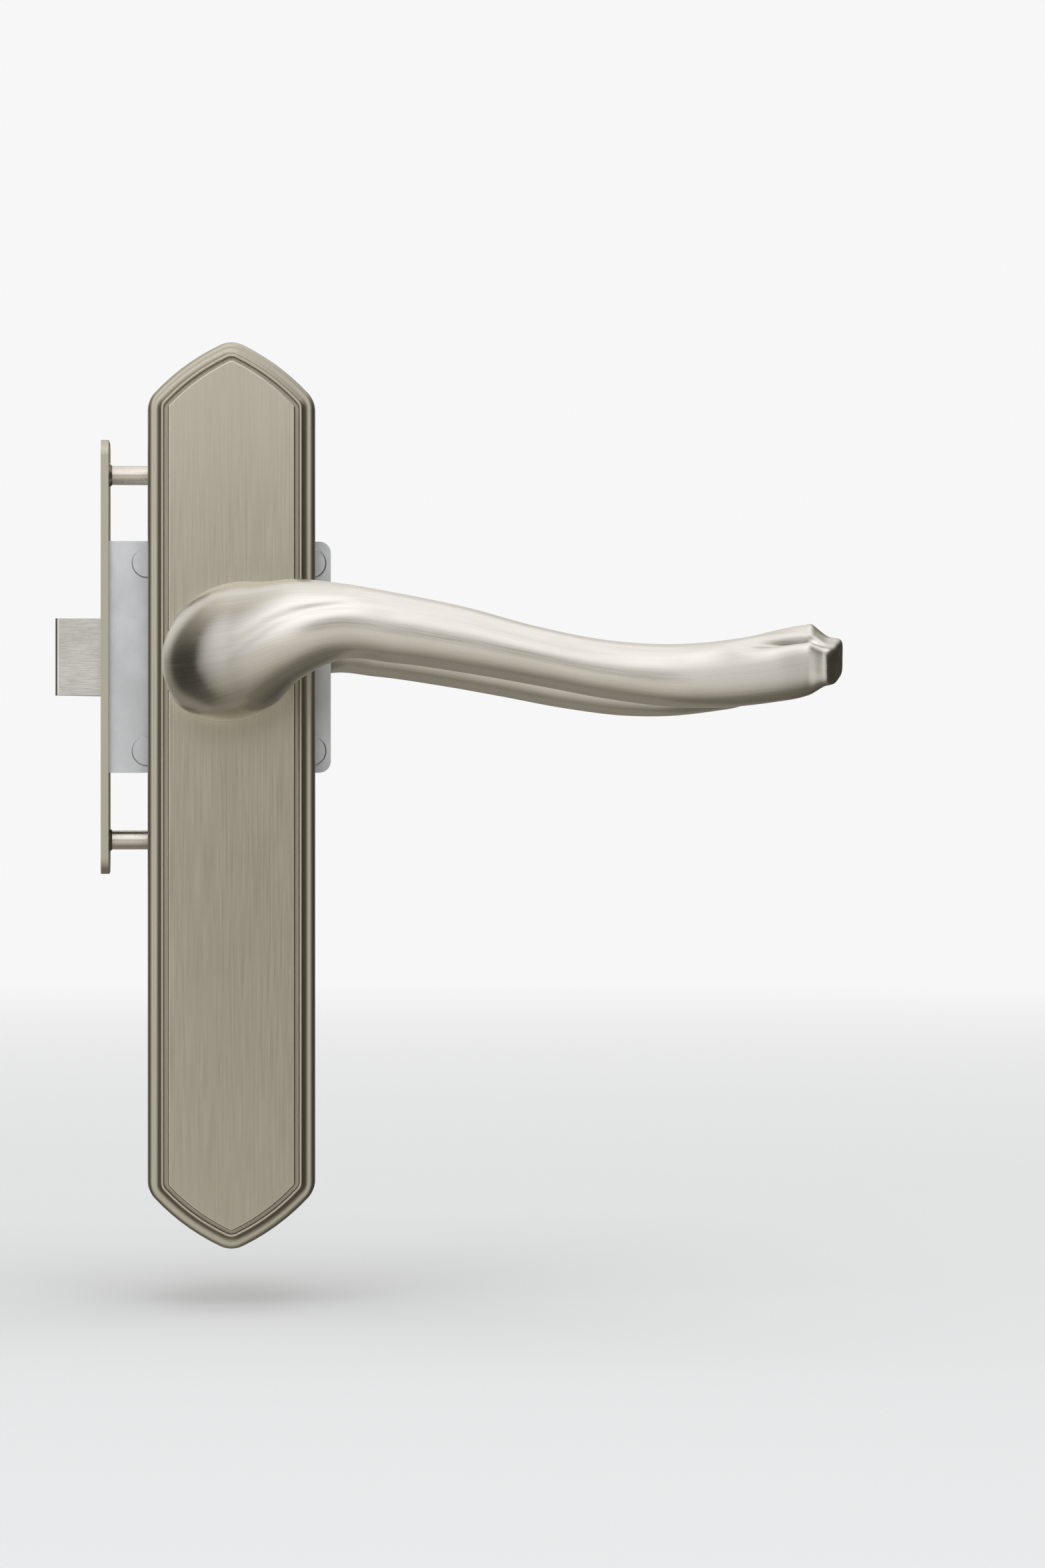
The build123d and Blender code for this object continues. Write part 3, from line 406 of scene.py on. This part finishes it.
def lever_nickel():
    """Satin nickel brushed along the lever."""
    finish, tree, shader = finish_of("lever_nickel", LEVER_NICKEL, 1, 0.3)
    map_node = tree.nodes.new("ShaderNodeUVMap")
    map_node.uv_map = "brushing"
    place = map_node.outputs["UV"]
    solid_place = tree.nodes.new("ShaderNodeTexCoord").outputs["Object"]
    fine = grain_noise(tree, place, FINE_BRUSHING, 3)
    coarse = grain_noise(tree, place, COARSE_BRUSHING, 3)
    clouds = grain_noise(tree, solid_place, LEVER_CLOUDS, 2)
    mixed = tree.nodes.new("ShaderNodeMath")
    mixed.operation = "ADD"
    tree.links.new(fine, mixed.inputs[0])
    tree.links.new(coarse, mixed.inputs[1])
    tree.links.new(spread(tree, mixed.outputs[0], *LEVER_ROUGHNESS, 0.7, 1.3), shader.inputs["Roughness"])
    soft = between(tree, spread(tree, clouds, 0, 1), LEVER_NICKEL_DULL, LEVER_NICKEL)
    brushed = spread(tree, mixed.outputs[0], 0, 1, 0.75, 1.25)
    lines = tree.nodes.new("ShaderNodeMix")
    lines.data_type = "RGBA"
    lines.blend_type = "MULTIPLY"
    lines.inputs["Factor"].default_value = 1
    tree.links.new(soft, lines.inputs["A"])
    tree.links.new(between(tree, brushed, DARK_LINES, LIGHT_LINES), lines.inputs["B"])
    tree.links.new(lines.outputs["Result"], shader.inputs["Base Color"])
    relief(tree, shader, fine, FINE_BRUSHING_DEPTH)
    shader.inputs["Anisotropic"].default_value = 0.6
    shader.inputs["Anisotropic Rotation"].default_value = 0.25
    tangent = tree.nodes.new("ShaderNodeTangent")
    tangent.direction_type = "UV_MAP"
    tangent.uv_map = "brushing"
    tree.links.new(tangent.outputs["Tangent"], shader.inputs["Tangent"])
    return finish


lever_finish = lever_nickel()
outside_lever = lever_mesh("outside_lever_casting", turned_over=False)
inside_lever = lever_mesh("inside_lever_casting", turned_over=True)
for lever, node in ((outside_lever, "outside_lever"), (inside_lever, "inside_lever")):
    lever.data.materials.append(lever_finish)
    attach(lever, "levers")
    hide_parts(node)


# Set screw hole in the inside lever
# It is drilled from below, through the boss into the spindle's socket.
# The set screw goes in there and clamps the spindle.
SCREW_HOLE_RADIUS = 2.5
SCREW_HOLE_Y = 46.5
DRILL_LENGTH = 30.0
DRILL_MIDDLE_Z = -16.0
drill_mesh = bpy.data.meshes.new("set_screw_drill")
drill_form = bmesh.new()
bmesh.ops.create_cone(
    drill_form, cap_ends=True, segments=64, depth=DRILL_LENGTH * MM,
    radius1=SCREW_HOLE_RADIUS * MM, radius2=SCREW_HOLE_RADIUS * MM,
)
drill_form.to_mesh(drill_mesh)
drill_form.free()
drill = bpy.data.objects.new("set_screw_drill", drill_mesh)
bpy.context.collection.objects.link(drill)
drill.location = (0, SCREW_HOLE_Y * MM, DRILL_MIDDLE_Z * MM)
bpy.context.view_layer.update()
bore = inside_lever.modifiers.new("set_screw_hole", "BOOLEAN")
bore.object = drill
bore.solver = "EXACT"
bpy.context.view_layer.objects.active = inside_lever
inside_lever.select_set(True)
bpy.ops.object.modifier_apply(modifier=bore.name)
bpy.data.objects.remove(drill)


# Cam plates, retaining rings and return springs
# Each shank carries a zinc plated steel cam plate, kept on by an open ring of spring steel in its groove.
# A coiled spring, with a leg in the cam plate and a leg in the trim plate, lifts the lever again.
spring_steel = steel(
    "spring_steel", colour=(0.36, 0.35, 0.33), dull=(0.28, 0.27, 0.26),
    roughness=0.3, speck=(0.0003, 0.0003, 0.0003), depth=0.000002,
)
for side in ("outside", "inside"):
    dressed(side + "_cam_plate", zinc_steel)
    dressed(side + "_retaining_ring", spring_steel)
    dressed(side + "_return_spring", spring_steel)


# Spindle and set screw
# A square bar of zinc plated steel joins the two levers.
# A short screw of dark oiled steel clamps the inside lever on it.
dressed("spindle", zinc_steel)
dressed("lever_set_screw", spring_steel)


# Through bolts
# Two nickel plated steel bolts with domed heads. They go through the inside plate into the posts.
screw_nickel = steel(
    "screw_nickel", colour=(0.66, 0.61, 0.53), dull=(0.58, 0.53, 0.46),
    roughness=0.27, speck=(0.0002, 0.0002, 0.0002), depth=0.000002,
)
dressed("through_bolts", screw_nickel)


# Latch case, cover and rivets
# The case is a folded steel tray with a zinc plate, closed by a flat cover. Four rivets hold them together.
for node in ("latch_case", "case_cover", "case_rivets"):
    dressed(node, zinc_steel)


# Hub, bolt tail and latch bolt
# The spindle turns the hub, whose nose draws in a slotted steel tail. The tail is riveted to the latch bolt,
# a bevelled block that is ground along its length and nickel plated.
bolt_nickel = steel(
    "bolt_nickel", colour=(0.66, 0.63, 0.57), dull=(0.58, 0.55, 0.49),
    roughness=0.25, speck=(0.003, 0.0002, 0.0002), depth=0.000003,
)
dressed("hub", zinc_steel)
dressed("bolt_tail", zinc_steel)
dressed("latch_bolt", bolt_nickel)


# Latch spring, guide pin and spring post
# A coiled spring pushes the latch bolt out again. It is wound from hard steel wire and sits on a thin pin,
# which a zinc plated post in the case holds.
dressed("latch_spring", spring_steel)
dressed("spring_guide_pin", spring_steel)
dressed("spring_post", zinc_steel)


# Faceplate and its screws
# A stamped strip in the trim plates' satin nickel, with its painted shade, and a window for the latch bolt.
# Two small zinc plated screws hold it to the latch case, and two nickel plated wood screws fix the latch.
dressed("faceplate", plate_finish_with_shade)
dressed("faceplate_screws", screw_nickel)
dressed("case_screws", zinc_steel)


# Floor
# A plain pale floor of matt paint just below the set. Far from the set it fades into the background.
# Its sizes, and those of the tent and the lamps, are in metres.
FLOOR_GAP = 0.012
FLOOR_RADIUS = 30
FADE_REACH = (0.35, 1.6)
BACKGROUND = 0.93


def floor_paint():
    """Matt pale paint that fades into the background far from the object."""
    finish, tree, shader = finish_of("floor_paint", (0.9, 0.9, 0.89), 0, 0.9)
    shader.inputs["Specular IOR Level"].default_value = 0.1
    place = tree.nodes.new("ShaderNodeTexCoord").outputs["Object"]
    reach = tree.nodes.new("ShaderNodeVectorMath")
    reach.operation = "LENGTH"
    tree.links.new(place, reach.inputs[0])
    far = spread(tree, reach.outputs["Value"], 0, 1, *FADE_REACH)
    glow = tree.nodes.new("ShaderNodeEmission")
    glow.inputs["Color"].default_value = (BACKGROUND, BACKGROUND, BACKGROUND, 1)
    mix = tree.nodes.new("ShaderNodeMixShader")
    tree.links.new(far, mix.inputs["Fac"])
    tree.links.new(shader.outputs[0], mix.inputs[1])
    tree.links.new(glow.outputs[0], mix.inputs[2])
    output = next(n for n in tree.nodes if n.type == "OUTPUT_MATERIAL")
    tree.links.new(mix.outputs[0], output.inputs["Surface"])
    return finish


floor_mesh = bpy.data.meshes.new("floor")
floor_form = bmesh.new()
bmesh.ops.create_circle(floor_form, cap_ends=True, segments=96, radius=FLOOR_RADIUS)
floor_form.to_mesh(floor_mesh)
floor_form.free()
floor = bpy.data.objects.new("floor", floor_mesh)
bpy.context.collection.objects.link(floor)
floor.location = (0, 0, cad_low[2] - FLOOR_GAP)
floor.visible_glossy = False
floor.data.materials.append(floor_paint())


# Tent
# A round tent of grey and white cloth about the set, with a dim patch in its front wall. It only shows
# mirrored in the metal. The tones of each wall are pairs of a height, from -1 at the foot to 1 at the top,
# and a brightness, where 1 is white.
TENT_RADIUS = 4
FRONT_TONES = (
    (-1, 0.28), (-0.95, 0.38), (-0.8, 0.6), (-0.6, 0.75), (-0.37, 0.88), (-0.12, 1.08),
    (0.12, 1.38), (0.37, 1.6), (0.6, 1.65), (0.8, 1.6), (0.92, 1.45), (1, 1.25),
)
LEFT_TONES = (
    (-1, 0.25), (-0.9, 0.12), (-0.4, 0.06), (0.1, 0.06), (0.37, 0.2),
    (0.6, 0.4), (0.79, 0.75), (0.92, 1.0), (1, 1.25),
)
RIGHT_TONES = (
    (-1, 0.2), (-0.6, 0.07), (0.1, 0.05), (0.4, 0.12), (0.6, 0.45), (0.79, 1.2), (0.92, 1.4), (1, 1.25),
)
BACK_TONES = ((-1, 0.35), (-0.3, 0.28), (0, 0.4), (0.2, 0.85), (0.6, 0.95), (1, 1.25))
PATCH_TONES = ((-1, 0.25), (-0.12, 0.27), (-0.05, 0.29), (0.05, 0.33), (0.12, 0.36), (1, 0.36))
DIM_TINT = (1, 0.95, 0.78)
BRIGHT_TINT = (1, 1.03, 1.1)
BRIGHT_FROM = 1.4
TO_RIGHT = (1, 0, 0)
TO_LOW_FRONT = (-0.105, -0.994, 0)
TO_HIGH_FRONT = (-0.12, -0.993, 0)
TO_BACK = (-0.3, 0.954, 0)
TO_PATCH = (0.05, -0.998, -0.02)


def tent_cloth():
    """Cloth that is pale in front, dark at both sides and grey behind, and lighter towards the top."""
    finish = bpy.data.materials.new("tent_cloth")
    finish.use_nodes = True
    tree = finish.node_tree
    tree.nodes.clear()

    def vector_step(operation, value, other=None):
        step = tree.nodes.new("ShaderNodeVectorMath")
        step.operation = operation
        tree.links.new(value, step.inputs[0])
        if other:
            step.inputs[1].default_value = other
        return step.outputs

    def towards(value, direction):
        return vector_step("DOT_PRODUCT", value, direction)["Value"]

    def tones(pairs):
        made = tree.nodes.new("ShaderNodeValToRGB")
        elements = made.color_ramp.elements
        while len(elements) > 1:
            elements.remove(elements[-1])
        for number, (place_up, bright) in enumerate(pairs):
            position = place_up / 2 + 0.5
            stop = elements[0] if number == 0 else elements.new(position)
            stop.position = position
            share = min(bright / BRIGHT_FROM, 1)
            stop.color = (*(bright * (a + (b - a) * share) for a, b in zip(DIM_TINT, BRIGHT_TINT)), 1)
        tree.links.new(height, made.inputs[0])
        return made.outputs["Color"]

    def blend(value, start, end, first, second):
        mix = tree.nodes.new("ShaderNodeMix")
        mix.data_type = "RGBA"
        tree.links.new(spread(tree, value, 0, 1, start, end), mix.inputs["Factor"])
        tree.links.new(first, mix.inputs["A"])
        tree.links.new(second, mix.inputs["B"])
        return mix.outputs["Result"]

    place = tree.nodes.new("ShaderNodeTexCoord").outputs["Object"]
    unit = vector_step("NORMALIZE", place)["Vector"]
    parts = tree.nodes.new("ShaderNodeSeparateXYZ")
    tree.links.new(unit, parts.inputs[0])
    height = spread(tree, parts.outputs["Z"], 0, 1, -1, 1)
    level = vector_step("NORMALIZE", vector_step("MULTIPLY", unit, (1, 1, 0))["Vector"])["Vector"]
    sideways = towards(level, TO_RIGHT)
    front, right = tones(FRONT_TONES), tones(RIGHT_TONES)
    sides = blend(sideways, -0.3, 0.3, tones(LEFT_TONES), right)
    low = blend(towards(level, TO_LOW_FRONT), 0.5, 0.98, sides, front)
    high = blend(towards(level, TO_HIGH_FRONT), 0.45, 0.97, sides, front)
    left_and_front = blend(height, 0.46, 0.62, low, high)
    low_right = blend(sideways, 0.3, 0.8, left_and_front, right)
    high_right = blend(sideways, 0.2, 0.5, left_and_front, right)
    sides_and_front = blend(height, 0.44, 0.52, low_right, high_right)
    around = blend(towards(level, TO_BACK), 0.72, 0.9, sides_and_front, tones(BACK_TONES))
    whole = blend(towards(unit, TO_PATCH), 0.9816, 0.9945, around, tones(PATCH_TONES))
    glow = tree.nodes.new("ShaderNodeEmission")
    tree.links.new(whole, glow.inputs["Color"])
    output = tree.nodes.new("ShaderNodeOutputMaterial")
    tree.links.new(glow.outputs[0], output.inputs["Surface"])
    finish.cycles.emission_sampling = "NONE"
    return finish


tent_mesh = bpy.data.meshes.new("tent")
tent_form = bmesh.new()
bmesh.ops.create_uvsphere(tent_form, u_segments=48, v_segments=24, radius=TENT_RADIUS)
tent_form.to_mesh(tent_mesh)
tent_form.free()
tent = bpy.data.objects.new("tent", tent_mesh)
bpy.context.collection.objects.link(tent)
tent.data.materials.append(tent_cloth())
tent.visible_camera = False
tent.visible_diffuse = False
tent.visible_transmission = False
tent.visible_volume_scatter = False
tent.visible_shadow = False


# Lamps and air
# Two large soft lamps, in front and above, that aren't mirrored in the metal.
# Plain light comes from all round, and the pale background shows past the floor.
LAMP_TINT = (0.96, 1, 1.06)
AIR_LEVEL = 0.66


def soft_lamp(name, place, width, height, level):
    """A large soft lamp aimed at the object; level is how bright its cloth is, where 1 is white."""
    light = bpy.data.lights.new(name, "AREA")
    light.color = LAMP_TINT
    light.shape = "RECTANGLE"
    light.size = width
    light.size_y = height
    light.energy = level * math.pi * width * height
    lamp = bpy.data.objects.new(name, light)
    bpy.context.collection.objects.link(lamp)
    lamp.location = place
    lamp.rotation_euler = (-Vector(place)).to_track_quat("-Z", "Y").to_euler()
    lamp.visible_camera = False
    lamp.visible_glossy = False


soft_lamp("lamp_in_front", place=(-0.08, -1.17, 1.09), width=1.95, height=1.25, level=0.75)
soft_lamp("lamp_above", place=(0, 0, 1.6), width=1.6, height=1.6, level=0.6)
world = bpy.data.worlds.new("studio_air")
bpy.context.scene.world = world
world.use_nodes = True
air = world.node_tree
plain_light = air.nodes["Background"]
plain_light.inputs["Color"].default_value = (1, 1, 1, 1)
plain_light.inputs["Strength"].default_value = AIR_LEVEL
backdrop = air.nodes.new("ShaderNodeBackground")
backdrop.inputs["Color"].default_value = (1, 1, 1, 1)
backdrop.inputs["Strength"].default_value = BACKGROUND
rays = air.nodes.new("ShaderNodeLightPath")
shown = rays.outputs["Is Camera Ray"]
for kind in ("Is Glossy Ray", "Is Transmission Ray"):
    either = air.nodes.new("ShaderNodeMath")
    either.operation = "MAXIMUM"
    air.links.new(shown, either.inputs[0])
    air.links.new(rays.outputs[kind], either.inputs[1])
    shown = either.outputs[0]
sky = air.nodes.new("ShaderNodeMixShader")
air.links.new(shown, sky.inputs["Fac"])
air.links.new(plain_light.outputs[0], sky.inputs[1])
air.links.new(backdrop.outputs[0], sky.inputs[2])
air.links.new(sky.outputs[0], air.nodes["World Output"].inputs["Surface"])


# Camera
# It stands a metre in front of the set, a little below the spindle, and looks slightly to the right.
CAMERA_DISTANCE = 1.0
CAMERA_HEIGHT = -0.02635
CAMERA_TURN = 3.43
CAMERA_LENS = 111.5
lens = bpy.data.cameras.new("camera")
lens.lens = CAMERA_LENS
camera = bpy.data.objects.new("camera", lens)
bpy.context.collection.objects.link(camera)
camera.location = (0, -CAMERA_DISTANCE, CAMERA_HEIGHT)
camera.rotation_euler = (math.radians(90), 0, math.radians(-CAMERA_TURN))
bpy.context.scene.camera = camera
bpy.context.scene.view_settings.view_transform = "Standard"
